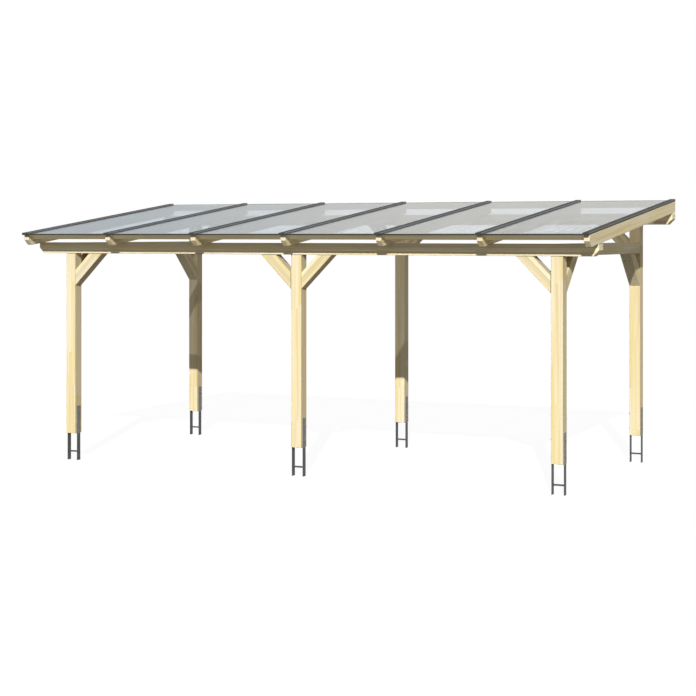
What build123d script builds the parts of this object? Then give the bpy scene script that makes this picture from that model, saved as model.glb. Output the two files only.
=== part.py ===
"""Free-standing timber patio cover with a single-pitch roof of twin-wall sheets.

Six posts stand in steel H-anchors and carry a front and a rear purlin. Tie beams join
the front and the rear post at each end, and 45 degree braces stiffen every corner.
Seven rafters lie on the purlins. Twin-wall sheets lie on the rafters under aluminium
glazing bars, with battens between the rafter ends and a U profile along each sheet end.

+X is along the front, +Y from the front to the rear, +Z up. The origin is on the
ground at the middle of the cover. All sizes are in millimetres.
"""

import os
from math import cos, radians, sin, sqrt, tan

from build123d import *

# Timber frame
timber = 120
timber_edge = 3
post_spacing = 2820
row_spacing = 2560
front_post_length = 1985
end_overhang = 360
purlin_end_cut = 60
brace_length = 500

# Steel anchors
anchor_plate_width = 60
anchor_plate_thickness = 5
anchor_leg_above = 300
anchor_leg_below = 300
anchor_bar_diameter = 18
anchor_bar_depth = 205

# Rafters and battens
roof_pitch = 7
bay_count = 6
rafter_width = 60
rafter_depth = 120
rafter_seat = 10
rafter_overhang = 280
rafter_nose_height = 60
rafter_nose_run = 62
batten_thickness = 40
batten_depth = 60
batten_edge = 2
eaves_batten_setback = 80
rear_batten_setback = 40

# Roof covering
seal_thickness = 2
seal_width = 20
gasket_thickness = 1
gasket_width = 8
gasket_lip = 2
sheet_thickness = 8
sheet_skin = 0.6
sheet_rib = 0.6
sheet_channels = 50
sheet_gap = 20
sheet_overhang = 40
bar_width = rafter_width
bar_height = 13
bar_wall = 2
bar_web = 8
bar_edge = 1.5
edge_profile_wall = 1.6
edge_profile_leg = 22
edge_profile_clearance = 1

# Plan, from the driving sizes
slope = radians(roof_pitch)
purlin_length = 2 * post_spacing + timber + 2 * end_overhang
rafter_spacing = (purlin_length - rafter_width) / bay_count
rafter_positions = [(i - bay_count / 2) * rafter_spacing for i in range(bay_count + 1)]
bay_centres = [(a + b) / 2 for a, b in zip(rafter_positions, rafter_positions[1:])]
sheet_width = rafter_spacing - sheet_gap
sheet_middle = seal_thickness + sheet_thickness / 2
bar_underside = seal_thickness + sheet_thickness + gasket_thickness
bar_top = bar_underside + bar_height
bar_reach = sheet_overhang * cos(slope) + bar_top * sin(slope)
plan_depth = bar_reach + rafter_overhang + row_spacing + timber
front_face = -plan_depth / 2 + bar_reach + rafter_overhang
front_row = front_face + timber / 2
rear_row = front_row + row_spacing
rear_face = rear_row + timber / 2
rafter_front = front_face - rafter_overhang

# Levels, from the driving sizes
post_foot = anchor_leg_below
front_bearing = post_foot + front_post_length
rear_post_length = front_post_length + row_spacing * tan(slope)
rear_bearing = post_foot + rear_post_length
front_purlin_top = front_bearing + timber
rear_purlin_top = rear_bearing + timber
brace_outer_leg = brace_length / sqrt(2)
brace_inner_leg = brace_outer_leg - timber * sqrt(2)

columns = {"left": -post_spacing, "centre": 0, "right": post_spacing}
rows = {"front": (front_row, front_post_length), "rear": (rear_row, rear_post_length)}


def rafter_underside(y):
    """Height of the rafters' lower edge at a place from front to rear."""
    return front_purlin_top + (y - front_face - rafter_seat) * tan(slope)


def rafter_topside(y):
    """Height of the rafters' upper edge at a place from front to rear."""
    return rafter_underside(y) + rafter_depth / cos(slope)


def roof_plane(along):
    """Section plane square to the roof, seen from the eaves.

    Its origin is on the rafters' upper edge, this far up the slope from the nose, its
    X is along the cover and its Y stands square to the roof.
    """
    origin = (
        0,
        rafter_front + along * cos(slope),
        rafter_topside(rafter_front) + along * sin(slope),
    )
    return Plane(origin=origin, x_dir=(1, 0, 0), z_dir=(0, -cos(slope), -sin(slope)))


# Lengths up the slope, from the rafters' upper front corner
rafter_run = (rear_face - rafter_front) / cos(slope)
bar_run = sheet_overhang + rafter_run
sheet_start = edge_profile_wall - sheet_overhang
sheet_end = rafter_run - edge_profile_wall


def save(part, name):
    """Label a finished piece and write it as a STEP file of that name."""
    part.label = name
    export_step(part, f"parts/{name}.step")


def make_post(x, y, length):
    with BuildPart() as post:
        with BuildSketch(Plane.XY.offset(post_foot)):
            with Locations((x, y)):
                Rectangle(timber, timber)
        extrude(amount=length)
        chamfer(post.edges().filter_by(Axis.Z), length=timber_edge)
    return post.part


def along_brace(edge):
    """True for the long edges of a brace, which lean at 45 degrees."""
    return 0.1 < abs(edge.tangent_at(0).Z) < 0.9


def make_anchor(x, y):
    """Two flat legs outside a post, a plate under it and a round bar in the ground."""
    leg_length = anchor_leg_above + anchor_leg_below
    leg_offset = timber / 2 + anchor_plate_thickness / 2
    with BuildPart() as anchor:
        with Locations(*[(x + side * leg_offset, y, leg_length / 2) for side in (-1, 1)]):
            Box(anchor_plate_thickness, anchor_plate_width, leg_length)
        with Locations((x, y, post_foot - anchor_plate_thickness / 2)):
            Box(timber, anchor_plate_width, anchor_plate_thickness)
        with BuildSketch(Plane.YZ.offset(x - timber / 2)):
            with Locations((y, post_foot - anchor_bar_depth)):
                Circle(anchor_bar_diameter / 2)
        extrude(amount=timber)
    return anchor.part


def make_purlin(y, underside):
    """A beam along the cover whose lower end corners are cut off."""
    with BuildPart() as purlin:
        with BuildSketch(Plane.YZ.offset(-purlin_length / 2)):
            with Locations((y, underside + timber / 2)):
                Rectangle(timber, timber)
        extrude(amount=purlin_length)
        end_edges = purlin.edges().filter_by(Axis.Y).group_by(Axis.Z)[0]
        chamfer(end_edges, length=purlin_end_cut)
        long_edges = purlin.edges().filter_by(Axis.X)
        chamfer(long_edges, length=timber_edge)
    return purlin.part


def make_tie_beam(x):
    """A beam from the front purlin to the rear post at one end of the cover."""
    with BuildPart() as tie_beam:
        with BuildSketch(Plane.XZ.offset(-(front_row + timber / 2))):
            with Locations((x, front_bearing + timber / 2)):
                Rectangle(timber, timber)
        extrude(amount=-(row_spacing - timber))
        chamfer(tie_beam.edges().filter_by(Axis.Y), length=timber_edge)
    return tie_beam.part


def brace_outline(corner, top, side):
    """Close the outline of a brace under a corner, running out to the given side."""
    Polyline(
        (corner, top - brace_outer_leg),
        (corner, top - brace_inner_leg),
        (corner + side * brace_inner_leg, top),
        (corner + side * brace_outer_leg, top),
        close=True,
    )


def make_long_braces(y, top):
    """The four braces from one row of posts up to its purlin."""
    half = timber / 2
    corners = [
        (columns["left"] + half, 1),
        (columns["centre"] - half, -1),
        (columns["centre"] + half, 1),
        (columns["right"] - half, -1),
    ]
    with BuildPart() as braces:
        for corner, side in corners:
            with BuildSketch(Plane.XZ.offset(-y)):
                with BuildLine():
                    brace_outline(corner, top, side)
                make_face()
        extrude(amount=half, both=True)
        chamfer(braces.edges().filter_by(along_brace), length=timber_edge)
    return braces.part


def make_end_braces(x):
    """The two braces from the front and the rear post up to one tie beam."""
    half = timber / 2
    corners = [(front_row + half, 1), (rear_row - half, -1)]
    with BuildPart() as braces:
        for corner, side in corners:
            with BuildSketch(Plane.YZ.offset(x)):
                with BuildLine():
                    brace_outline(corner, front_bearing, side)
                make_face()
        extrude(amount=half, both=True)
        chamfer(braces.edges().filter_by(along_brace), length=timber_edge)
    return braces.part


def make_rafter(x):
    """A sloping rafter with a cut nose, seated on both purlins by a birdsmouth."""
    nose_foot = rafter_front + rafter_nose_run
    with BuildPart() as rafter:
        with BuildSketch(Plane.YZ.offset(x)):
            with BuildLine():
                Polyline(
                    (rafter_front, rafter_topside(rafter_front)),
                    (rafter_front, rafter_topside(rafter_front) - rafter_nose_height),
                    (nose_foot, rafter_underside(nose_foot)),
                    (rear_face, rafter_underside(rear_face)),
                    (rear_face, rafter_topside(rear_face)),
                    close=True,
                )
            make_face()
        extrude(amount=rafter_width / 2, both=True)
        sides = rafter.faces().filter_by(Axis.X)
        chamfer(sides.edges(), length=timber_edge)
        with BuildSketch(Plane.YZ.offset(x)):
            with Locations((front_row, front_purlin_top - timber / 2)):
                Rectangle(timber, timber)
            with Locations((rear_row, rear_purlin_top - timber / 2)):
                Rectangle(timber, timber)
        extrude(amount=rafter_width / 2, both=True, mode=Mode.SUBTRACT)
    return rafter.part


def make_battens(along):
    """The battens of one line, one in each bay between two rafters."""
    with BuildPart() as battens:
        with BuildSketch(roof_plane(along)):
            with Locations(*[(x, -batten_depth / 2) for x in bay_centres]):
                Rectangle(rafter_spacing - rafter_width, batten_depth)
        extrude(amount=-batten_thickness)
        chamfer(battens.edges().filter_by(Axis.X), length=batten_edge)
    return battens.part


def make_seals():
    """Flat seals under the long edges of the sheets, and gaskets on top of them.

    A gasket fills the gap between a sheet and the bar over it, and its rounded lip
    stands out past the bar.
    """
    seal_inset = sheet_width / 2 - seal_width / 2
    gasket_inset = rafter_spacing / 2 - bar_width / 2 + gasket_width / 2
    gasket_height = bar_underside - gasket_thickness / 2
    both_edges = [(x, side) for x in bay_centres for side in (-1, 1)]
    with BuildPart() as seals:
        with BuildSketch(roof_plane(0)):
            with Locations(*[(x + side * seal_inset, seal_thickness / 2) for x, side in both_edges]):
                Rectangle(seal_width, seal_thickness)
        extrude(amount=-rafter_run)
        with BuildSketch(roof_plane(sheet_start)):
            with Locations(*[(x + side * gasket_inset, gasket_height) for x, side in both_edges]):
                Rectangle(gasket_width, gasket_thickness)
            lip_offset = gasket_inset - gasket_width / 2
            with Locations(*[(x + side * lip_offset, gasket_height) for x, side in both_edges]):
                SlotOverall(2 * gasket_lip, gasket_thickness)
        extrude(amount=sheet_start - sheet_end)
    return seals.part


def make_sheet(x):
    """A twin-wall sheet: two skins with ribs between them that run up the slope."""
    pitch = (sheet_width - sheet_rib) / sheet_channels
    channel_height = sheet_thickness - 2 * sheet_skin
    with BuildPart() as sheet:
        with BuildSketch(roof_plane(sheet_start)):
            with Locations((x, sheet_middle)):
                Rectangle(sheet_width, sheet_thickness)
                with GridLocations(pitch, sheet_thickness, sheet_channels, 1):
                    Rectangle(pitch - sheet_rib, channel_height, mode=Mode.SUBTRACT)
        extrude(amount=sheet_start - sheet_end)
    return sheet.part


def make_glazing_bar(x, outer_side):
    """A hollow cover bar on a web between two sheets.

    The bars at the two ends of the cover have a leg that closes the outer side down to
    the rafter: outer_side is -1 or 1 there, and 0 on the others.
    """
    middle = bar_underside + bar_height / 2
    chamber_width = (bar_width - bar_web) / 2 - bar_wall
    chamber_offset = bar_web / 2 + chamber_width / 2
    leg_offset = outer_side * (bar_width - bar_wall) / 2
    with BuildPart() as bar:
        with BuildSketch(roof_plane(-sheet_overhang)) as outline:
            with Locations((x, middle)):
                Rectangle(bar_width, bar_height)
            fillet(outline.vertices().group_by(Axis.Y)[-1], radius=bar_edge)
            with Locations((x, bar_underside / 2)):
                Rectangle(bar_web, bar_underside)
            if outer_side:
                with Locations((x + leg_offset, bar_underside / 2)):
                    Rectangle(bar_wall, bar_underside)
        extrude(amount=-bar_run)
        with BuildSketch(roof_plane(-sheet_overhang + bar_wall)):
            with Locations(*[(x + side * chamber_offset, middle) for side in (-1, 1)]):
                Rectangle(chamber_width, bar_height - 2 * bar_wall)
        extrude(amount=2 * bar_wall - bar_run, mode=Mode.SUBTRACT)
    return bar.part


def make_edge_profiles(along, inward):
    """U profiles over the ends of the sheets, one in each bay between the bars.

    inward is 1 where the profile's legs run up the slope from its back, and -1 where
    they run down it.
    """
    length = rafter_spacing - bar_width - 2 * (gasket_lip + edge_profile_clearance)
    outer_height = sheet_thickness + 2 * edge_profile_wall
    places = [(x, sheet_middle) for x in bay_centres]
    with BuildPart() as profiles:
        with BuildSketch(roof_plane(along - inward * edge_profile_wall)):
            with Locations(*places):
                Rectangle(length, outer_height)
        extrude(amount=-inward * edge_profile_leg)
        with BuildSketch(roof_plane(along)):
            with Locations(*places):
                Rectangle(length, sheet_thickness)
        extrude(amount=-inward * edge_profile_leg, mode=Mode.SUBTRACT)
    return profiles.part


os.makedirs("parts", exist_ok=True)

for row, (y, length) in rows.items():
    for column, x in columns.items():
        save(make_post(x, y, length), f"post_{row}_{column}")
        save(make_anchor(x, y), f"anchor_{row}_{column}")

save(make_purlin(front_row, front_bearing), "front_purlin")
save(make_purlin(rear_row, rear_bearing), "rear_purlin")
save(make_long_braces(front_row, front_bearing), "front_braces")
save(make_long_braces(rear_row, rear_bearing), "rear_braces")
for column in ("left", "right"):
    save(make_tie_beam(columns[column]), f"{column}_tie_beam")
    save(make_end_braces(columns[column]), f"{column}_braces")

for number, x in enumerate(rafter_positions, start=1):
    outer_side = {1: -1, bay_count + 1: 1}.get(number, 0)
    save(make_rafter(x), f"rafter_{number}")
    save(make_glazing_bar(x, outer_side), f"glazing_bar_{number}")

for number, x in enumerate(bay_centres, start=1):
    save(make_sheet(x), f"roof_sheet_{number}")

save(make_seals(), "sheet_seals")
save(make_battens(eaves_batten_setback / cos(slope)), "eaves_battens")
save(make_battens(rafter_run - rear_batten_setback - batten_thickness), "rear_battens")
save(make_edge_profiles(sheet_start, 1), "front_edge_profiles")
save(make_edge_profiles(sheet_end, -1), "rear_edge_profiles")
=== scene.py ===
"""Looks of a free-standing timber patio cover with a single-pitch twin-wall roof.

All sizes are in metres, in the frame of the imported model: +X along the front, +Y from
the front to the rear, +Z up, the origin on the ground at the middle of the cover.
"""

import itertools
import math

import bmesh
import bpy
from mathutils import Matrix, Vector


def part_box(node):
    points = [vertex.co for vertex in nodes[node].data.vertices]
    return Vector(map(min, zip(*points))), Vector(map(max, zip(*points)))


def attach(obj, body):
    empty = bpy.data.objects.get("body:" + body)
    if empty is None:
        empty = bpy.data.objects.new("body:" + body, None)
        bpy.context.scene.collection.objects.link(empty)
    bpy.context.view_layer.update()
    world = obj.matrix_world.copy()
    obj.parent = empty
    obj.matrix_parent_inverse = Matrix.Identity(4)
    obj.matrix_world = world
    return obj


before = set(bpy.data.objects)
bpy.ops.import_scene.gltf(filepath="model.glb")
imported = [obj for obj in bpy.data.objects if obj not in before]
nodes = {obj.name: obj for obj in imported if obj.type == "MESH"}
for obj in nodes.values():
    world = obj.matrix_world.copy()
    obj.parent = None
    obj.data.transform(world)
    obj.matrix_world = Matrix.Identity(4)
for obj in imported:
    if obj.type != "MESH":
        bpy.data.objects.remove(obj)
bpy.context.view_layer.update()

# The photograph, in pixels, and the camera that took it
picture_size = 696
focal_length = 1665.3
horizon_row = 233.66
centre_column = 348.01
camera_place = Vector((8.0939, -16.2931, 2.5009))
camera_turn = math.radians(26.380)
sensor_width = 36

# Sun, sky and floor. The mirrored sky turns from its left colour to its right one
# between two values of the direction's X.
white = (1, 1, 1, 1)
sun_travel = Vector((-0.42, 1, -0.574))
sun_strength = 3.75
sun_softness = math.radians(0.55)
sun_distance = 10
sky_on_surfaces = (0.303, 0.303, 0.316)
sky_mirrored_left = (0.70, 0.77, 0.83)
sky_mirrored_right = (0.93, 0.93, 0.91)
sky_turn = (-0.47, -0.33)
cloud_fineness = 9.0
cloud_strength = 0.16
floor_on_surfaces = (0.175, 0.168, 0.156)
floor_shadow_catch = (0.09, 0.09, 0.09)
floor_brightness = 0.94
floor_half_width = 400

# Timber: layers, boards and the joints between them
layer_depth = 0.040
usual_board = 1.15
purlin_board = 7.0
finger_width = 0.0019
finger_slope = 5.0
layer_glue_width = 0.0011
joint_glue_width = 0.0007
# Painted shade along joints with other timber: full up to the first distance, gone by the second
seam_shade_widths = (0.0032, 0.004)

# Growth rings, about a pith outside the board, and knots
ring_width = 0.0042
ring_sharpness = 3.5
ring_bend = 0.026
ring_taper = 0.004
ring_swirl = 0.008
pith_spread = 0.14
pith_depths = (0.045, 0.135)
knot_spacing = 0.42
knot_spread = 0.10
knot_edge = 0.002
smallest_knot = 0.001
largest_knot = 0.008
knotless_share = 0.62
swirl_reach = 0.010

# Patterns in timber: how often they change in a metre along, across and through the grain
ring_bend_fineness = (0.9, 7.0, 7.0)
streak_fineness = (0.8, 26.0, 26.0)
brown_fineness = (0.5, 48.0, 48.0)
fibre_fineness = (14.0, 700.0, 700.0)

# How much the boards, the streaks and the brown patches differ
board_drift = 37.0
brown_drift = 3.0
board_contrast = 0.60
streak_contrast = 3.5
brown_range = (0.47, 0.72)
brown_shares = (0.55, 0.14)

# Wood colours, and marks: how strongly each shows, and its colour. The mark for the seams
# is painted shade along the joints with other timber, not a mark in the wood.
pale_wood = (0.88, 0.80, 0.57)
golden_wood = (0.82, 0.665, 0.29)
brown_wood = (0.66, 0.51, 0.28)
late_wood_mark = (0.32, (0.68, 0.49, 0.22))
fibre_mark = (0.10, (0.66, 0.53, 0.31))
knot_mark = (0.75, (0.42, 0.23, 0.09))
glue_mark = (0.35, (0.50, 0.37, 0.20))
seam_shade_mark = (0.85, (0.10, 0.075, 0.04))
end_grain_mark = (0.45, (0.84, 0.77, 0.59))
golden_shares = {
    "post_front_left": 0.24,
    "post_front_centre": 0.24,
    "post_front_right": 0.24,
    "post_rear_left": 0.36,
    "post_rear_centre": 0.10,
    "post_rear_right": 0.42,
}
wood_roughness = (0.56, 0.72)
late_wood_roughness = -0.08
grain_relief = (0.6, 0.4)
glue_relief = -0.7
wood_bump = (0.5, 0.0004)

# Galvanised steel. Each zinc gives its darkest and lightest crystals.
bright_zinc = ((0.152, 0.155, 0.153), (0.268, 0.271, 0.268))
dull_zinc = ((0.064, 0.065, 0.065), (0.126, 0.127, 0.126))
dull_edge = 0.012
crystal_fineness = 90.0
bloom_fineness = 9.0
zinc_shares = (0.45, 0.6)
zinc_roughness = (0.46, 0.60)
zinc_bump = (0.25, 0.0006)

# Coated aluminium
coat_tones = (0.86, 1.14)
drawn_fineness = (700.0, 3.0, 700.0)
dull_fineness = 4.0
coat_shares = (0.4, 0.6)
coat_roughness = (0.46, 0.66)
coat_bump = (0.15, 0.0002)
groove_from_middle = 0.013
groove_widths = (0.0006, 0.0014)
# The grooves' darker colour is painted shade in them; their depth is only a bump
groove_shade_strength = 0.6
groove_shade_tone = 0.4
groove_relief = -6.0
# Up to this height over the sheets the bars' sides get painted shade on their foot
foot_shade_edge = (0.0025, 0.0035)
cap_edge = (0.0115, 0.0120)
cap_colour = (0.066, 0.064, 0.062)

# Clear sheets. sheet_looks gives for each sheet, from the left, how much light one skin
# lets through and how strong the rain's streaks are.
skin_reach = 0.0003
skin_mirror = (0.04, 0.82)
mirror_falloff = 5.0
clear_colour = (0.93, 0.94, 0.945)
gloss_colour = (0.93, 0.94, 0.95, 1)
gloss_roughness = 0.12
milky_colours = ((0.62, 0.64, 0.65), (0.74, 0.75, 0.75))
milky_roughness = 0.4
dust_fineness = (6.0, 1.0, 1.0)
dust_haze = (0.03, 0.08)
scratch_fineness = (46.0, 0.7, 1.0)
scratch_range = (0.50, 0.80)
scratch_haze = 0.05
stain_fineness = (23.0, 2.0, 1.0)
stain_range = (0.49, 0.59)
stain_tone = 0.78
stain_fade = (0.3, 2.0)
stain_left = 0.2
passed_to_surfaces = (0.85, 0.85, 0.85)
passed_from_sun = (0.37, 0.37, 0.37)
sheet_looks = [(1.0, 0.15), (1.0, 0.1), (1.0, 0.15), (1.0, 0.15), (1.0, 0.3), (0.985, 0.8)]

# Sealing rubber
rubber_fineness = 300.0
rubber_colours = ((0.018, 0.018, 0.019), (0.045, 0.045, 0.046))
rubber_roughness = (0.6, 0.8)
rubber_bump = (0.2, 0.0002)

# Where a face counts as looking some way: from and to which share of its normal
# Looking up: where the painted shade on upward faces starts and where it is full
upper_shade_range = (0.45, 0.65)
looks_along = (0.75, 0.97)
# Looking sideways: where the bars' sides get painted light
painted_side_range = (0.55, 0.85)

# Eased edges
timber_ease = 0.0015
steel_ease = 0.0006
ease_segments = 2
sharp_from = math.radians(30)
weld_distance = 0.00005

# Fasteners and end closures
bolt_heights = (0.07, 0.23)
bar_screw_spacing = 0.40
bar_screw_inset = 0.15
brace_screw_inset = 0.075
closure_depths = (0.0002, 0.0015)
closure_radius = 0.003
closure_lap = 0.001
closure_steps = 4

# Places read from the frame
post_boxes = {name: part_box(name) for name in nodes if name.startswith("post_")}
column_places = {
    column: sum(c.x for c in post_boxes[f"post_front_{column}"]) / 2
    for column in ("left", "centre", "right")
}
row_places = {
    row: sum(c.y for c in post_boxes[f"post_{row}_left"]) / 2 for row in ("front", "rear")
}
timber_size = post_boxes["post_front_left"][1].x - post_boxes["post_front_left"][0].x
post_foot = post_boxes["post_front_left"][0].z
column_spacing = column_places["right"] - column_places["centre"]
row_spacing = row_places["rear"] - row_places["front"]
purlin_tops = {row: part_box(f"{row}_purlin")[1].z for row in ("front", "rear")}
purlin_levels = {row: top - timber_size / 2 for row, top in purlin_tops.items()}
slope = math.atan2(purlin_tops["rear"] - purlin_tops["front"], row_spacing)
rafter_names = sorted(name for name in nodes if name.startswith("rafter_"))
rafter_places = [sum(c.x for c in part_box(name)) / 2 for name in rafter_names]
bay_width = rafter_places[1] - rafter_places[0]
bar_names = [name for name in nodes if name.startswith("glazing_bar_")]
right_bar = max(bar_names)

# Directions
ALONG_COVER = Vector((1, 0, 0))
TO_REAR = Vector((0, 1, 0))
UP = Vector((0, 0, 1))
UP_SLOPE = Vector((0, math.cos(slope), math.sin(slope)))
OFF_ROOF = Vector((0, -math.sin(slope), math.cos(slope)))


def reach(name, direction):
    """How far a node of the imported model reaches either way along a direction."""
    places = [direction.dot(vertex.co) for vertex in nodes[name].data.vertices]
    return min(places), max(places)


bar_ends = reach("glazing_bar_1", UP_SLOPE)
rafter_topside = reach("rafter_1", OFF_ROOF)[1]
sheet_underside, sheet_top = reach("roof_sheet_1", OFF_ROOF)


class Graph:
    """The nodes of a material or of the world, with short calls that add to them."""

    def __init__(self, owner):
        self.owner = owner
        self.owner.use_nodes = True
        self.tree = self.owner.node_tree
        self.tree.nodes.clear()

    def set(self, socket, value):
        """Link a socket to another node's output, or give it a plain value."""
        if isinstance(value, bpy.types.NodeSocket):
            self.tree.links.new(value, socket)
        else:
            socket.default_value = value

    def add(self, kind, inputs=None, **settings):
        """A node of this kind. inputs gives its sockets, by name or number."""
        node = self.tree.nodes.new(kind)
        for setting, value in settings.items():
            setattr(node, setting, value)
        for socket, value in (inputs or {}).items():
            self.set(node.inputs[socket], value)
        return node

    def output(self, kind, inputs=None, **settings):
        """The first output of a new node."""
        return self.add(kind, inputs, **settings).outputs[0]

    def math(self, operation, *values, clamp=False):
        inputs = dict(enumerate(values))
        return self.output("ShaderNodeMath", inputs, operation=operation, use_clamp=clamp)

    def between(self, share, low, high):
        """A value that goes from low to high as a share goes from 0 to 1."""
        return self.math("MULTIPLY_ADD", share, high - low, low)

    def either_way(self, chance, width):
        """A chance from 0 to 1 turned into a distance either way from the middle."""
        return self.math("MULTIPLY", self.math("SUBTRACT", chance, 0.5), width)

    def weighed(self, values, shares, clamp=False):
        """The sum of two values, each times its share."""
        rest = self.math("MULTIPLY", values[1], shares[1])
        return self.math("MULTIPLY_ADD", values[0], shares[0], rest, clamp=clamp)

    def diagonal(self, first, second):
        """The length of the diagonal over two distances square to each other."""
        square = self.math("MULTIPLY", first, first)
        return self.math("SQRT", self.math("MULTIPLY_ADD", second, second, square))

    def spread(self, value, low, high, new_low=0.0, new_high=1.0):
        """A value mapped smoothly from one range to another and kept inside it."""
        inputs = {0: value, 1: low, 2: high, 3: new_low, 4: new_high}
        return self.output("ShaderNodeMapRange", inputs, interpolation_type="SMOOTHSTEP")

    def combine(self, x, y, z):
        return self.output("ShaderNodeCombineXYZ", {0: x, 1: y, 2: z})

    def split(self, vector):
        """The three coordinates of a vector."""
        return list(self.add("ShaderNodeSeparateXYZ", {0: vector}).outputs)

    def split_colour(self, colour):
        """The three channels of a colour."""
        return list(self.add("ShaderNodeSeparateColor", {0: colour}).outputs)

    def dot(self, vector, direction):
        inputs = {0: vector, 1: direction}
        node = self.add("ShaderNodeVectorMath", inputs, operation="DOT_PRODUCT")
        return node.outputs["Value"]

    def place(self):
        """The place on the object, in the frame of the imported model."""
        return self.add("ShaderNodeTexCoord").outputs["Object"]

    def roof_places(self):
        """How far a place lies along the cover, up the slope and off the roof."""
        place = self.place()
        return [self.dot(place, direction) for direction in (ALONG_COVER, UP_SLOPE, OFF_ROOF)]

    def normal(self):
        """The way that the face looks."""
        return self.add("ShaderNodeNewGeometry").outputs["Normal"]

    def noise(self, vector, scale, detail=2.0, roughness=0.5):
        inputs = {"Vector": vector, "Scale": scale, "Detail": detail, "Roughness": roughness}
        return self.add("ShaderNodeTexNoise", inputs).outputs["Fac"]

    def pattern(self, places, fineness, detail=2.0, roughness=0.5, shift=0.0):
        """Noise over three distances, each with its own fineness.

        shift moves the pattern along the first of them.
        """
        shifts = (shift, 0.0, 0.0)
        moved = [self.math("MULTIPLY_ADD", *terms) for terms in zip(places, fineness, shifts)]
        return self.noise(self.combine(*moved), 1.0, detail, roughness)

    def random(self, vector):
        return self.add("ShaderNodeTexWhiteNoise", {"Vector": vector})

    def mix(self, share, first, second, blend="MIX"):
        """Two colours mixed by a share of the second one."""
        node = self.add("ShaderNodeMix", data_type="RGBA", blend_type=blend)
        for socket, value in ((0, share), (6, first), (7, second)):
            if isinstance(value, tuple):
                value = (*value, 1)
            self.set(node.inputs[socket], value)
        return node.outputs[2]

    def marked(self, colour, share, mark):
        """A colour with a mark on it, which is a pair of its strength and its colour."""
        strength, mark_colour = mark
        return self.mix(self.math("MULTIPLY", share, strength), colour, mark_colour)

    def toned(self, colour, tone):
        """A colour made darker or lighter by a tone."""
        return self.mix(1.0, colour, tone, blend="MULTIPLY")

    def bump(self, height, strength, distance):
        inputs = {"Height": height, "Strength": strength, "Distance": distance}
        return self.output("ShaderNodeBump", inputs)

    def mix_shaders(self, share, first, second):
        return self.output("ShaderNodeMixShader", {0: share, 1: first, 2: second})

    def finish(self, shader, kind="ShaderNodeOutputMaterial"):
        """Show a shader on the surface. Returns the finished material or world."""
        self.add(kind, {"Surface": shader})
        return self.owner

    def finish_principled(self, inputs):
        """End a material with one Principled shader."""
        return self.finish(self.output("ShaderNodeBsdfPrincipled", inputs))


def folded(graph, place, axis, start, spacing):
    """The place with one coordinate turned into its distance from the nearest post.

    Returns with it the number of the half bay in which the place lies.
    """
    coordinates = graph.split(place)
    offset = graph.math("SUBTRACT", coordinates[axis], start)
    coordinates[axis] = graph.math("PINGPONG", offset, spacing / 2)
    half_bay = graph.math("FLOOR", graph.math("DIVIDE", offset, spacing / 2))
    return graph.combine(*coordinates), half_bay


def grain_place(graph, centre, along, stack, seed, fold, cells):
    """How far a place lies along the grain, across it and through the layers.

    The last number returned tells the pieces of one node apart.
    """
    place = graph.place()
    piece = float(seed)
    if fold:
        place, half_bay = folded(graph, place, *fold)
        piece = graph.math("ADD", half_bay, piece)
    if cells:
        start, width = cells
        from_start = graph.math("SUBTRACT", graph.split(place)[0], start)
        cell = graph.math("FLOOR", graph.math("DIVIDE", from_start, width))
        piece = graph.math("ADD", cell, piece)
    inputs = {0: place, 1: centre}
    offset = graph.output("ShaderNodeVectorMath", inputs, operation="SUBTRACT")
    length = graph.dot(offset, along)
    across = graph.dot(offset, along.cross(stack))
    depth = graph.dot(offset, stack)
    return length, across, depth, piece


def glued_boards(graph, length, across, depth, piece, layers, board_length):
    """The layers of the timber and the finger-jointed boards along each of them.

    Returns three random numbers of the board, the depth from its layer's middle, and how
    much of a glue line shows there.
    """
    steps = graph.math("ADD", graph.math("DIVIDE", depth, layer_depth), layers / 2)
    layer = graph.math("FLOOR", steps)
    middle = graph.math("MULTIPLY", graph.math("ADD", layer, 0.5 - layers / 2), layer_depth)
    depth_in_layer = graph.math("SUBTRACT", depth, middle)

    chance = graph.random(graph.combine(layer, piece, 4.0)).outputs["Value"]
    shift = graph.math("MULTIPLY", chance, board_length)
    slanted = graph.math("ADD", across, depth_in_layer)
    fingers = graph.math("PINGPONG", slanted, finger_width)
    shift = graph.math("MULTIPLY_ADD", fingers, finger_slope, shift)
    boards = graph.math("DIVIDE", graph.math("ADD", length, shift), board_length)
    board = graph.math("FLOOR", boards)
    colour = graph.random(graph.combine(layer, piece, board)).outputs["Color"]

    from_middle = graph.math("ABSOLUTE", depth_in_layer)
    to_layer_edge = graph.math("SUBTRACT", layer_depth / 2, from_middle)
    layer_glue = graph.spread(to_layer_edge, 0.0, layer_glue_width, 1.0, 0.0)
    to_joint = graph.math("MULTIPLY", graph.math("PINGPONG", boards, 0.5), board_length)
    joint_glue = graph.spread(to_joint, 0.0, joint_glue_width, 1.0, 0.0)
    glue = graph.math("MAXIMUM", layer_glue, joint_glue)
    return graph.split_colour(colour), depth_in_layer, glue


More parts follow.
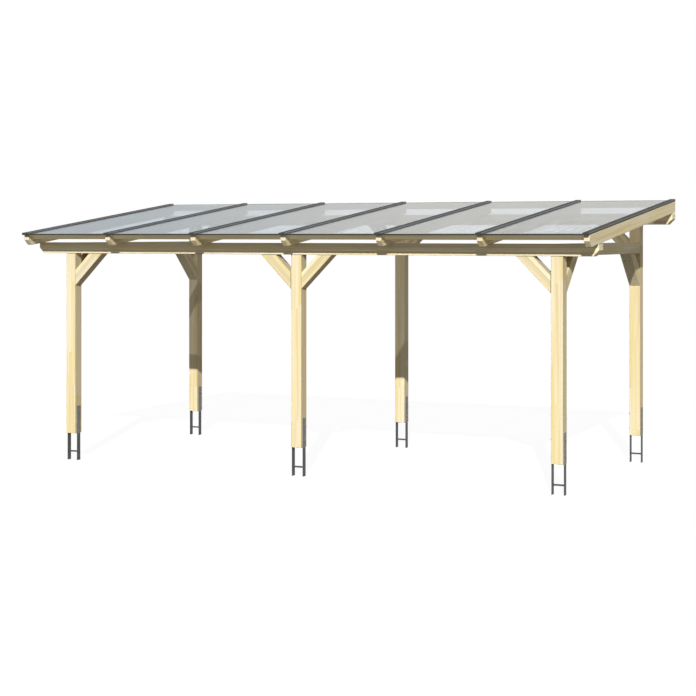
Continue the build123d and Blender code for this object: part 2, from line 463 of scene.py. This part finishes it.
def small_knots(graph, length, across, chances):
    """Where a knot lies, from 0 to 1, and how far it bends the rings beside it."""
    steps = graph.math("DIVIDE", length, knot_spacing)
    steps = graph.math("MULTIPLY_ADD", chances[0], board_drift, steps)
    inputs = {"W": steps, "Scale": 1.0}
    cell = graph.add("ShaderNodeTexVoronoi", inputs, voronoi_dimensions="1D").outputs
    side_luck, size_luck, luck = graph.split_colour(cell["Color"])
    knot_across = graph.either_way(side_luck, knot_spread)
    from_middle = graph.diagonal(
        graph.math("MULTIPLY", cell["Distance"], knot_spacing),
        graph.math("SUBTRACT", across, knot_across),
    )
    size = graph.math("MULTIPLY", size_luck, largest_knot)
    size = graph.math("MULTIPLY", size, graph.math("GREATER_THAN", luck, knotless_share))
    swirl = graph.math("DIVIDE", size, graph.math("ADD", from_middle, swirl_reach))
    from_edge = graph.math("SUBTRACT", from_middle, size)
    knot = graph.spread(from_edge, 0.0, knot_edge, 1.0, 0.0)
    return graph.math("MULTIPLY", knot, graph.math("GREATER_THAN", size, smallest_knot)), swirl


def growth_rings(graph, length, across, depth_in_layer, chances, swirl):
    """How dark the late wood of the growth rings is, from 0 to 1.

    The rings run about a pith outside the board and bend slowly along it. swirl bends
    them round the knots.
    """
    drift_luck, side_luck, depth_luck = chances
    shift = graph.math("MULTIPLY", drift_luck, board_drift)
    bend = graph.pattern((length, across, depth_in_layer), ring_bend_fineness, shift=shift)
    bend = graph.math("SUBTRACT", bend, 0.5)
    pith_across = graph.either_way(side_luck, pith_spread)
    pith_depth = graph.between(depth_luck, *pith_depths)
    radius = graph.diagonal(
        graph.math("SUBTRACT", across, pith_across),
        graph.math("ADD", depth_in_layer, pith_depth),
    )
    for influence, strength in ((bend, ring_bend), (length, ring_taper), (swirl, ring_swirl)):
        radius = graph.math("MULTIPLY_ADD", influence, strength, radius)
    ring = graph.math("FRACT", graph.math("DIVIDE", radius, ring_width))
    return graph.math("POWER", ring, ring_sharpness)


def layer_tones(graph, depth, tones):
    """How bright each of three layers is."""
    tone = tones[0]
    for i in (1, 2):
        above = graph.math("GREATER_THAN", depth, (i - 1.5) * layer_depth)
        tone = graph.math("MULTIPLY_ADD", above, tones[i] - tones[i - 1], tone)
    return tone


def timber_material(
    name,
    centre,
    along,
    stack,
    seed,
    layers=3,
    fold=None,
    cells=None,
    board_length=usual_board,
    golden_share=0.32,
    tones=(1, 1, 1),
    upper_painted_shade=1.0,
    seams=(),
):
    """Planed spruce: glued layers of boards with growth rings, streaks and small knots.

    along is the direction of the grain, and stack the one in which the layers lie on
    each other. fold mirrors the place about the posts, for braces that lean either way,
    and cells counts pieces of one node along X, so that each has its own boards.
    golden_share is how golden the wood is on average. The layer tones give how bright each
    of three layers is, and for some pieces they also carry painted shade or painted light.
    The upper tone is painted shade: how dark the faces are that look up. The shaded seams
    give the planes of the joints with other timber, each as a direction and a place along
    it, and whether the fold comes first; a dark line of painted shade runs along each.
    """
    graph = Graph(bpy.data.materials.new(name))
    length, across, depth, piece = grain_place(graph, centre, along, stack, seed, fold, cells)
    chances, depth_in_layer, glue = glued_boards(
        graph, length, across, depth, piece, layers, board_length
    )
    knot, swirl = small_knots(graph, length, across, chances)
    late_wood = growth_rings(graph, length, across, depth_in_layer, chances, swirl)

    # Streaks and brown patches a few centimetres wide, and fibres
    places = (length, across, depth)
    drift = graph.math("MULTIPLY_ADD", chances[0], board_drift, piece)
    streak = graph.pattern(places, streak_fineness, 3.0, 0.6, shift=drift)
    shift = graph.math("MULTIPLY", drift, brown_drift)
    brown = graph.spread(graph.pattern(places, brown_fineness, shift=shift), *brown_range)
    brown = graph.weighed((brown, chances[1]), brown_shares)
    fibre = graph.pattern(places, fibre_fineness)

    least_golden = golden_share - board_contrast / 2
    golden = graph.math("MULTIPLY_ADD", chances[0], board_contrast, least_golden)
    from_mean = graph.math("SUBTRACT", streak, 0.5)
    golden = graph.math("MULTIPLY_ADD", from_mean, streak_contrast, golden)
    golden = graph.math("ADD", golden, 0.0, clamp=True)
    colour = graph.mix(golden, pale_wood, golden_wood)
    colour = graph.mix(brown, colour, brown_wood)
    colour = graph.marked(colour, late_wood, late_wood_mark)
    colour = graph.marked(colour, fibre, fibre_mark)
    colour = graph.marked(colour, knot, knot_mark)
    colour = graph.marked(colour, glue, glue_mark)
    # Layer tones, which for some pieces also carry painted shade or painted light
    colour = graph.toned(colour, layer_tones(graph, depth, tones))

    normal = graph.normal()
    # Painted shade: faces that look up are darkened by the upper tone
    upper_face_shade = graph.spread(graph.dot(normal, UP), *upper_shade_range, 1.0, upper_painted_shade)
    colour = graph.toned(colour, upper_face_shade)
    # Painted shade: a dark line along each joint with other timber
    for direction, level, fold_first in seams:
        place = folded(graph, graph.place(), *fold)[0] if fold_first else graph.place()
        away = graph.math("ABSOLUTE", graph.math("SUBTRACT", graph.dot(place, direction), level))
        seam = graph.spread(away, *seam_shade_widths, 1.0, 0.0)
        colour = graph.marked(colour, seam, seam_shade_mark)
    end_grain = graph.spread(graph.math("ABSOLUTE", graph.dot(normal, along)), *looks_along)
    colour = graph.marked(colour, end_grain, end_grain_mark)

    height = graph.weighed((late_wood, fibre), grain_relief)
    height = graph.math("MULTIPLY_ADD", glue, glue_relief, height)
    roughness = graph.between(fibre, *wood_roughness)
    roughness = graph.math("MULTIPLY_ADD", late_wood, late_wood_roughness, roughness)
    return graph.finish_principled(
        {
            "Base Color": colour,
            "Roughness": roughness,
            "Specular IOR Level": 0.15,
            "Normal": graph.bump(height, *wood_bump),
        }
    )


def steel_material(name, dull_below=None):
    """Hot-dip galvanised steel: a grey zinc skin with soft crystal spangles.

    dull_below is the height under which the skin is darker, as it is in the ground.
    """
    graph = Graph(bpy.data.materials.new(name))
    place = graph.place()
    spangle = graph.add("ShaderNodeTexVoronoi", {"Vector": place, "Scale": crystal_fineness})
    crystal = graph.split_colour(spangle.outputs["Color"])[0]
    bloom = graph.noise(place, bloom_fineness, 4.0, 0.6)
    share = graph.weighed((crystal, bloom), zinc_shares, clamp=True)
    zinc = graph.mix(share, *bright_zinc)
    if dull_below:
        above = graph.spread(graph.dot(place, UP), dull_below - dull_edge, dull_below)
        zinc = graph.mix(above, graph.mix(share, *dull_zinc), zinc)
    return graph.finish_principled(
        {
            "Base Color": zinc,
            "Metallic": 0.20,
            "Roughness": graph.between(crystal, *zinc_roughness),
            "Specular IOR Level": 0.2,
            "Normal": graph.bump(bloom, *zinc_bump),
        }
    )


def scaled(colour, factor):
    """A plain colour made darker or lighter."""
    return tuple(factor * channel for channel in colour)


def coated_material(name, colour, sides=None, foot=None, caps=None):
    """Coated aluminium with faint drawing lines along it and two grooves over the bars.

    sides is the painted light on the bars' sides, a lighter colour than the top, and the
    foot colour is painted shade on their lower part. caps is the colour of the plastic caps
    over their ends.
    """
    graph = Graph(bpy.data.materials.new(name))
    places = graph.roof_places()
    along, run, level = places
    from_left = graph.math("SUBTRACT", along, rafter_places[0])
    from_bar = graph.math("PINGPONG", from_left, bay_width / 2)
    to_groove = graph.math("ABSOLUTE", graph.math("SUBTRACT", from_bar, groove_from_middle))
    groove = graph.spread(to_groove, *groove_widths, 1.0, 0.0)

    drawn = graph.pattern(places, drawn_fineness)
    dull = graph.noise(graph.place(), dull_fineness, 4.0, 0.6)
    share = graph.weighed((drawn, dull), coat_shares, clamp=True)
    coat = graph.mix(share, *[scaled(colour, tone) for tone in coat_tones])
    # Painted shade in the grooves
    coat = graph.marked(coat, groove, (groove_shade_strength, scaled(colour, groove_shade_tone)))
    # Painted light and shade: sides lighter than the top, and their foot darker
    if sides:
        sideways = graph.math("ABSOLUTE", graph.dot(graph.normal(), ALONG_COVER))
        painted_side_mask = graph.spread(sideways, *painted_side_range)
        above_painted_foot_shade = graph.spread(level, *[sheet_top + height for height in foot_shade_edge])
        coat = graph.mix(painted_side_mask, coat, graph.mix(above_painted_foot_shade, foot, sides))
    if caps:
        from_middle = graph.math("SUBTRACT", run, sum(bar_ends) / 2)
        half_bar = (bar_ends[1] - bar_ends[0]) / 2
        to_end = graph.math("SUBTRACT", half_bar, graph.math("ABSOLUTE", from_middle))
        coat = graph.mix(graph.spread(to_end, *cap_edge, 1.0, 0.0), coat, caps)
    height = graph.math("MULTIPLY_ADD", groove, groove_relief, drawn)
    return graph.finish_principled(
        {
            "Base Color": coat,
            "Roughness": graph.between(dull, *coat_roughness),
            "Specular IOR Level": 0.04,
            "Normal": graph.bump(height, *coat_bump),
        }
    )


def sheet_material(name, tint, stained):
    """Clear twin-wall plastic: glossy outer skins, and ribs and inner faces with a haze.

    tint is how much light one skin lets through, and stained how strong the streaks are
    that the rain has left near the eaves.
    """
    graph = Graph(bpy.data.materials.new(name))
    x, run, level = graph.roof_places()
    above = graph.math("GREATER_THAN", level, sheet_top - skin_reach)
    below = graph.math("LESS_THAN", level, sheet_underside + skin_reach)
    outer = graph.math("MAXIMUM", above, below)
    facing = graph.add("ShaderNodeLayerWeight", {"Blend": 0.5}).outputs["Facing"]
    back = graph.add("ShaderNodeNewGeometry").outputs["Backfacing"]
    mirror = graph.between(graph.math("POWER", facing, mirror_falloff), *skin_mirror)
    mirror = graph.math("MULTIPLY", mirror, outer)
    mirror = graph.math("MULTIPLY", mirror, graph.math("SUBTRACT", 1.0, back))

    # Dust, scratches and rain stains, each its own slice through the noise, lie in long
    # soft streaks down the slope
    dust = graph.pattern((x, run, 0.0), dust_fineness, 4.0, 0.6)
    scratch = graph.spread(graph.pattern((x, run, 7.0), scratch_fineness), *scratch_range)
    haze = graph.math("MULTIPLY_ADD", scratch, scratch_haze, graph.between(dust, *dust_haze))
    stain = graph.pattern((x, run, 3.0), stain_fineness, 2.0, 0.6)
    stain = graph.spread(stain, *stain_range, 1.0, 0.0)
    fade = [bar_ends[0] + distance for distance in stain_fade]
    near_eaves = graph.spread(run, *fade, stained, stain_left * stained)
    stain = graph.math("MULTIPLY", graph.math("MULTIPLY", stain, near_eaves), outer)

    passed = scaled(clear_colour, tint)
    clear = graph.mix(stain, passed, scaled(passed, stain_tone))
    clear = graph.output("ShaderNodeBsdfTransparent", {"Color": clear})
    inputs = {"Base Color": graph.mix(dust, *milky_colours), "Roughness": milky_roughness}
    milky = graph.output("ShaderNodeBsdfPrincipled", inputs)
    inputs = {"Color": gloss_colour, "Roughness": gloss_roughness}
    gloss = graph.output("ShaderNodeBsdfGlossy", inputs)
    seen = graph.mix_shaders(haze, clear, milky)
    seen = graph.mix_shaders(mirror, seen, gloss)

    # The light that the sheet passes on to what lies under it
    rays = graph.add("ShaderNodeLightPath").outputs
    passed_on = graph.mix(rays["Is Shadow Ray"], passed_to_surfaces, passed_from_sun)
    shade_colour = graph.mix(outer, (1.0, 1.0, 1.0), passed_on)
    shade = graph.output("ShaderNodeBsdfTransparent", {"Color": shade_colour})
    lighting = graph.math("MAXIMUM", rays["Is Shadow Ray"], rays["Is Diffuse Ray"])
    return graph.finish(graph.mix_shaders(lighting, seen, shade))


def rubber_material(name):
    """Matt black sealing rubber."""
    graph = Graph(bpy.data.materials.new(name))
    grain = graph.noise(graph.place(), rubber_fineness, 3.0)
    return graph.finish_principled(
        {
            "Base Color": graph.mix(grain, *rubber_colours),
            "Roughness": graph.between(grain, *rubber_roughness),
            "Normal": graph.bump(grain, *rubber_bump),
        }
    )


def dress(name, material):
    """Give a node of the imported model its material."""
    slots = nodes[name].data.materials
    slots.clear()
    slots.append(material)


def ease_edges(name, width):
    """Round a node's sharp edges as the real piece's are."""
    piece = nodes[name]
    weld = piece.modifiers.new("Weld", "WELD")
    weld.merge_threshold = weld_distance
    bevel = piece.modifiers.new("Eased edges", "BEVEL")
    bevel.width = width
    bevel.segments = ease_segments
    bevel.limit_method = "ANGLE"
    bevel.angle_limit = sharp_from
    bevel.harden_normals = True


# Timber
seeds = itertools.count(10, 10)


def dress_timber(name, centre, along, stack, **looks):
    """Give a timber node its grain and eased edges. Each call takes the next seed."""
    material = timber_material(f"timber_{name}", centre, along, stack, next(seeds), **looks)
    dress(name, material)
    ease_edges(name, timber_ease)


def dress_braces(name, place, axis, first_post, spacing, **looks):
    """Give the braces of one plane their grain, folded about the posts.

    place is any place in their plane. axis is the number of the level axis along which
    they lean, first_post a post's place along it, and spacing the one of the posts.
    """
    half_root = math.sqrt(0.5)
    low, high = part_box(name)
    leg = high.z - low.z - timber_size * half_root
    outward = (ALONG_COVER, TO_REAR)[axis]
    centre = Vector(place)
    centre[axis] = timber_size / 2
    centre.z = high.z - leg
    dress_timber(
        name,
        centre,
        half_root * (outward + UP),
        half_root * (outward - UP),
        fold=(axis, first_post, spacing),
        # Painted shade along the joints with the post and the purlin
        seams=[(outward, timber_size / 2, True), (UP, high.z, False)],
        **looks,
    )


for row, y in row_places.items():
    for column, x in column_places.items():
        name = f"post_{row}_{column}"
        # Painted shade along the joint with the purlin on top
        seams = [(UP, purlin_tops[row] - timber_size, False)]
        looks = {"golden_share": golden_shares[name], "seams": seams}
        dress_timber(name, Vector((x, y, 0)), UP, ALONG_COVER, **looks)

for row, level in purlin_levels.items():
    # The purlins' tones: partly the layers' own, partly painted light that brightens their
    # shaded faces
    looks = {"board_length": purlin_board, "golden_share": 0.12, "tones": (1.05, 1.22, 1.05)}
    centre = Vector((0, row_places[row], level))
    dress_timber(f"{row}_purlin", centre, ALONG_COVER, UP, **looks)

for column in ("left", "right"):
    centre = Vector((column_places[column], 0, purlin_levels["front"]))
    # Painted shade: these tones darken the whole beam, which lies in the roof's shade
    dress_timber(f"{column}_tie_beam", centre, TO_REAR, UP, tones=(0.90, 0.93, 0.90))

for row, y in row_places.items():
    # The layer tones here are the braces' own; the upper tone is painted shade on their upward
    # faces
    looks = {"tones": (1.04, 0.86, 0.98), "upper_painted_shade": 0.5}
    dress_braces(
        f"{row}_braces", (0, y, 0), 0, column_places["centre"], column_spacing, **looks
    )

for column in ("left", "right"):
    place = (column_places[column], 0, 0)
    # Painted shade: these tones darken the braces, which lie in the roof's shade
    looks = {"tones": (0.94, 0.90, 0.94)}
    dress_braces(f"{column}_braces", place, 1, row_places["front"], row_spacing, **looks)

for name, x in zip(rafter_names, rafter_places):
    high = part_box(name)[1]
    centre = Vector((x, high.y, high.z)) - OFF_ROOF * timber_size / 2
    dress_timber(name, centre, UP_SLOPE, OFF_ROOF)

for name in ("eaves_battens", "rear_battens"):
    low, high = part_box(name)
    cells = (rafter_places[0], bay_width)
    dress_timber(name, (low + high) / 2, ALONG_COVER, OFF_ROOF, layers=1, cells=cells)

# Metal, sheets and seals
steel = steel_material("galvanised_steel", dull_below=post_foot)
fastener_steel = steel_material("zinc_fasteners")
# The bars' coat: a dark top, with painted light on the sides and painted shade on their foot
bar_coat = coated_material(
    "coated_bars",
    (0.055, 0.056, 0.058),
    sides=(0.272, 0.284, 0.290),
    foot=(0.108, 0.115, 0.118),
    caps=cap_colour,
)
# A darker copy of the bars' coat for the bar at the right end: its painted side light and foot
# shade are darker
shaded_end_bar_coat = coated_material(
    "coated_end_bar_shaded",
    (0.050, 0.049, 0.047),
    sides=(0.215, 0.212, 0.190),
    foot=(0.080, 0.079, 0.072),
    caps=cap_colour,
)
front_profile_coat = coated_material("coated_front_profiles", (0.050, 0.045, 0.038))
rear_profile_coat = coated_material("coated_rear_profiles", (0.34, 0.35, 0.36))
closure_coat = coated_material("coated_closures", cap_colour)
rubber = rubber_material("sealing_rubber")
for name in nodes:
    if name.startswith("anchor_"):
        dress(name, steel)
        ease_edges(name, steel_ease)
for name in bar_names:
    dress(name, shaded_end_bar_coat if name == right_bar else bar_coat)
dress("front_edge_profiles", front_profile_coat)
dress("rear_edge_profiles", rear_profile_coat)
dress("sheet_seals", rubber)
for i, (tint, stained) in enumerate(sheet_looks):
    name = f"roof_sheet_{i + 1}"
    dress(name, sheet_material(f"clear_{name}", tint, stained))

# Turned shapes, in metres: how many sides each has, and then the pairs of a distance
# along the axis and a radius. Six sides make a hexagon, and many make a round shape.
nut_top = 0.0106
thread_step = 0.0008
thread_radii = (0.0050, 0.0044)
seal_top = 0.0014
WASHER = (24, [(0, 0.0100), (0.0018, 0.0100), (0.0020, 0.0098)])
HEX_HEAD = (6, [(0.0020, 0.0095), (0.0076, 0.0095), (0.0086, 0.0084)])
HEX_NUT = (6, [(0.0020, 0.0086), (0.0028, 0.0095), (0.0096, 0.0095), (nut_top, 0.0086)])
THREAD = (16, [(nut_top + thread_step * i, thread_radii[i % 2]) for i in range(9)])
SEAL_WASHER = (20, [(0, 0.0070), (0.0008, 0.0074), (seal_top, 0.0066)])
PAN_HEAD = (
    20,
    [(0, 0.0055), (0.0012, 0.0055), (0.0026, 0.0047), (0.0034, 0.0030), (0.0036, 0.0012)],
)
SCREW_HEAD = (20, [(0, 0.0060), (0.0004, 0.0058), (0.0006, 0.0046)])
SCREW_SOCKET = (6, [(0.0006, 0.0022), (0.0008, 0.0021)])


def turn_shapes(mesh, place, axis, *shapes):
    """Turn shapes about an axis through a place and add them, closed, to a mesh."""
    turn = axis.to_track_quat("Z", "Y").to_matrix().to_4x4()
    moved = Matrix.Translation(place) @ turn
    for sides, outline in shapes:
        rings = []
        for distance, radius in outline:
            ring = []
            for i in range(sides):
                angle = 2 * math.pi * i / sides
                point = Vector((radius * math.cos(angle), radius * math.sin(angle), distance))
                ring.append(mesh.verts.new(moved @ point))
            rings.append(ring)
        for lower, upper in zip(rings, rings[1:]):
            for i in range(sides):
                j = (i + 1) % sides
                mesh.faces.new((lower[i], lower[j], upper[j], upper[i]))
        mesh.faces.new(list(reversed(rings[0])))
        mesh.faces.new(rings[-1])


def add_piece(name, mesh, material):
    """Make an object from a finished mesh and let it ride on the cover."""
    data = bpy.data.meshes.new(name)
    mesh.to_mesh(data)
    mesh.free()
    data.materials.append(material)
    piece = bpy.data.objects.new(name, data)
    bpy.context.scene.collection.objects.link(piece)
    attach(piece, "root")


def closure_outline(left, right):
    """The outline of an end closure: places along the cover and off the roof."""
    top = sheet_top + closure_lap
    outline = [(left, top), (right, top)]
    turns = range(closure_steps + 1)
    for x, side, turned in ((right, -1, turns), (left, 1, reversed(turns))):
        for i in turned:
            angle = math.pi / 2 * i / closure_steps
            across = x + side * closure_radius * (1 - math.cos(angle))
            level = rafter_topside + closure_radius * (1 - math.sin(angle))
            outline.append((across, level))
    return outline


def add_end_closures():
    """Plates with round lower corners that close the ends of the sheets under the bars."""
    mesh = bmesh.new()
    for name in bar_names:
        low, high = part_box(name)
        outline = closure_outline(low.x, high.x)
        for end, inward in zip(bar_ends, (1, -1)):
            rings = []
            for depth in closure_depths:
                run = UP_SLOPE * (end + inward * depth)
                places = [ALONG_COVER * x + OFF_ROOF * level + run for x, level in outline]
                rings.append([mesh.verts.new(place) for place in places])
            for i in range(len(outline)):
                mesh.faces.new((rings[0][i - 1], rings[0][i], rings[1][i], rings[1][i - 1]))
            mesh.faces.new(rings[0])
            mesh.faces.new(rings[1])
    bmesh.ops.recalc_face_normals(mesh, faces=mesh.faces)
    add_piece("end_closures", mesh, closure_coat)


def add_anchor_bolts():
    """Two bolts through each anchor and the foot of its post, with washers and nuts."""
    mesh = bmesh.new()
    for name, (low, high) in post_boxes.items():
        y = (low.y + high.y) / 2
        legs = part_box(name.replace("post_", "anchor_"))
        for height in bolt_heights:
            z = low.z + height
            head = Vector((legs[1].x, y, z))
            nut = Vector((legs[0].x, y, z))
            turn_shapes(mesh, head, ALONG_COVER, WASHER, HEX_HEAD)
            turn_shapes(mesh, nut, -ALONG_COVER, WASHER, HEX_NUT, THREAD)
    add_piece("anchor_bolts", mesh, fastener_steel)


def brace_corners():
    """The upper inner corner of each brace, its way out from the post, and sideways."""
    for row, y in row_places.items():
        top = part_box(f"{row}_braces")[1].z
        for column, sides in (("left", (1,)), ("centre", (-1, 1)), ("right", (-1,))):
            for side in sides:
                x = column_places[column] + side * timber_size / 2
                yield Vector((x, y, top)), side * ALONG_COVER, TO_REAR
    for column in ("left", "right"):
        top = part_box(f"{column}_braces")[1].z
        for row, side in (("front", 1), ("rear", -1)):
            y = row_places[row] + side * timber_size / 2
            yield Vector((column_places[column], y, top)), side * TO_REAR, ALONG_COVER


def add_brace_screws():
    """Countersunk screws in each brace's lower face, two near either end."""
    mesh = bmesh.new()
    low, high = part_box("front_braces")
    leg = high.z - low.z
    near_end = brace_screw_inset / leg
    for corner, outward, sideways in brace_corners():
        face_out = (outward - UP).normalized()
        for share in (near_end, 1 - near_end):
            on_face = corner + outward * leg * share - UP * leg * (1 - share)
            for side in (-1, 1):
                place = on_face + sideways * side * timber_size / 4
                turn_shapes(mesh, place, face_out, SCREW_HEAD, SCREW_SOCKET)
    add_piece("brace_screws", mesh, fastener_steel)


def add_bar_screws():
    """Pan-head screws on sealing washers along the top of every glazing bar."""
    screws = bmesh.new()
    washers = bmesh.new()
    for name in bar_names:
        low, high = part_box(name)
        rear_top = Vector(((low.x + high.x) / 2, high.y, high.z))
        screwed_run = (high.y - low.y) / math.cos(slope) - 2 * bar_screw_inset
        count = int(screwed_run / bar_screw_spacing)
        step = screwed_run / count
        for i in range(count + 1):
            place = rear_top - UP_SLOPE * (bar_screw_inset + step * i)
            turn_shapes(washers, place, OFF_ROOF, SEAL_WASHER)
            turn_shapes(screws, place + OFF_ROOF * seal_top, OFF_ROOF, PAN_HEAD)
    add_piece("bar_screws", screws, fastener_steel)
    add_piece("bar_screw_washers", washers, rubber)


add_end_closures()
add_anchor_bolts()
add_brace_screws()
add_bar_screws()


# Stage: floor, sky, sun and camera
def make_floor():
    """A pale floor that shows white, with a faint shadow of the cover."""
    half = floor_half_width
    mesh = bpy.data.meshes.new("floor")
    corners = [(-half, -half, 0), (half, -half, 0), (half, half, 0), (-half, half, 0)]
    mesh.from_pydata(corners, [], [(0, 1, 2, 3)])
    floor = bpy.data.objects.new("floor", mesh)
    bpy.context.scene.collection.objects.link(floor)

    graph = Graph(bpy.data.materials.new("pale_floor"))
    rays = graph.add("ShaderNodeLightPath").outputs
    ground = graph.output("ShaderNodeBsdfDiffuse", {"Color": (*floor_on_surfaces, 1)})
    catch = graph.output("ShaderNodeBsdfDiffuse", {"Color": (*floor_shadow_catch, 1)})
    inputs = {"Color": white, "Strength": floor_brightness}
    glow = graph.output("ShaderNodeEmission", inputs)
    shown = graph.output("ShaderNodeAddShader", {0: catch, 1: glow})
    looks = graph.math("MAXIMUM", rays["Is Camera Ray"], rays["Is Glossy Ray"])
    looks = graph.math("MAXIMUM", looks, rays["Is Transmission Ray"])
    mesh.materials.append(graph.finish(graph.mix_shaders(looks, ground, shown)))


def make_sky():
    """A white surround to look at, a soft blue to white one in mirrors, and a plain light.

    The mirrored sky turns from pale blue on the left to white on the right, with large
    soft clouds.
    """
    graph = Graph(bpy.data.worlds.new("surround"))
    rays = graph.add("ShaderNodeLightPath").outputs
    direction = graph.add("ShaderNodeTexCoord").outputs["Generated"]
    clouds = graph.noise(direction, cloud_fineness)
    sideways = graph.split(direction)[0]
    wandering = graph.math("MULTIPLY_ADD", clouds, cloud_strength, sideways)
    inputs = {0: wandering, 1: sky_turn[0], 2: sky_turn[1]}
    turn = graph.output("ShaderNodeMapRange", inputs)
    tint = graph.mix(turn, sky_mirrored_left, sky_mirrored_right)
    on_surfaces = graph.output("ShaderNodeBackground", {"Color": (*sky_on_surfaces, 1)})
    mirrored = graph.output("ShaderNodeBackground", {"Color": tint})
    seen = graph.output("ShaderNodeBackground", {"Color": white})
    looks = graph.mix_shaders(rays["Is Glossy Ray"], seen, mirrored)
    light = graph.mix_shaders(rays["Is Diffuse Ray"], looks, on_surfaces)
    bpy.context.scene.world = graph.finish(light, "ShaderNodeOutputWorld")


def make_sun():
    """A sun from the front right, hard enough for clear shadow edges."""
    light = bpy.data.lights.new("sun", "SUN")
    light.energy = sun_strength
    light.angle = sun_softness
    sun = bpy.data.objects.new("sun", light)
    sun.rotation_euler = sun_travel.to_track_quat("-Z", "Y").to_euler()
    sun.location = -sun_distance * sun_travel
    bpy.context.scene.collection.objects.link(sun)


def make_camera():
    """The photograph's camera: level, with the picture's middle below the horizon."""
    lens = bpy.data.cameras.new("camera")
    lens.sensor_width = sensor_width
    lens.lens = focal_length / picture_size * sensor_width
    lens.shift_x = (picture_size / 2 - centre_column) / picture_size
    lens.shift_y = (horizon_row - picture_size / 2) / picture_size
    camera = bpy.data.objects.new("camera", lens)
    camera.location = camera_place
    camera.rotation_euler = (math.pi / 2, 0, camera_turn)
    bpy.context.scene.collection.objects.link(camera)
    bpy.context.scene.camera = camera


make_floor()
make_sky()
make_sun()
make_camera()

scene = bpy.context.scene
scene.view_settings.view_transform = "Standard"
scene.cycles.transparent_max_bounces = 48
